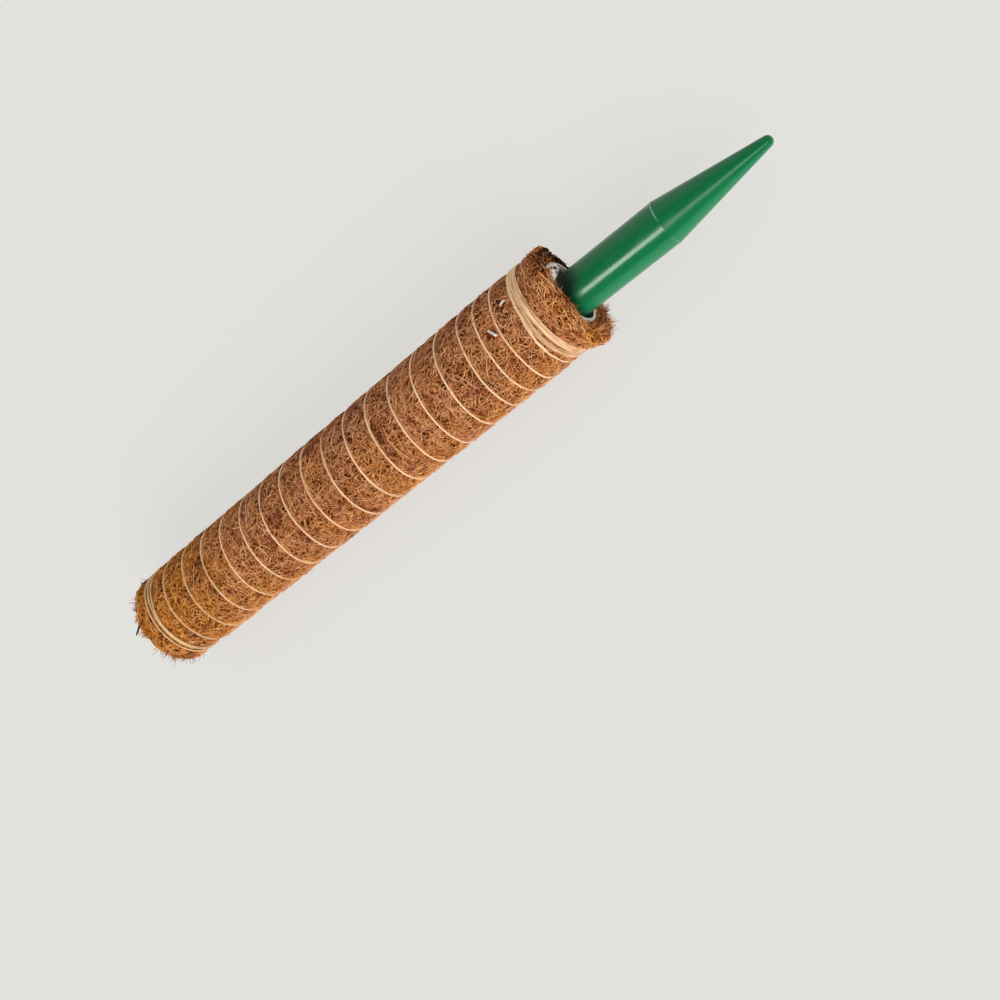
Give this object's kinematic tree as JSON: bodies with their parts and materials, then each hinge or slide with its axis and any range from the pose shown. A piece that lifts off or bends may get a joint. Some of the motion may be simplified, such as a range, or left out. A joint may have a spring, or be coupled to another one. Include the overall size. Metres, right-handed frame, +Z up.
{
  "type": "moss pole",
  "caption": "Coir totem pole for climbing plants: fibre mat bound with twine round a pipe, with a pointed plastic spike glued into the lower end.",
  "frame": {"origin": "on the ground under the middle of the lying pole", "axes": "+X along the pole towards the spike's tip, +Z up, -Y the side that faces the camera"},
  "size_m": [0.4, 0.0516, 0.0499],
  "materials": {
    "white_pvc": "extruded white pipe, sawn ends",
    "coir": "matted coconut fibre, mid brown",
    "jute": "twisted natural twine, pale tan",
    "green_plastic": "semi-gloss moulded green",
    "hot_melt": "lumpy beige glue",
    "staple_steel": "bright galvanised wire"
  },
  "bodies": {
    "root": {"core_pipe": "white_pvc", "coir_mat": "coir", "binding_twine": "jute", "ground_spike": "green_plastic", "adhesive_plug": "hot_melt", "staple_1": "staple_steel", "staple_2": "staple_steel"}
  },
  "joints": []
}
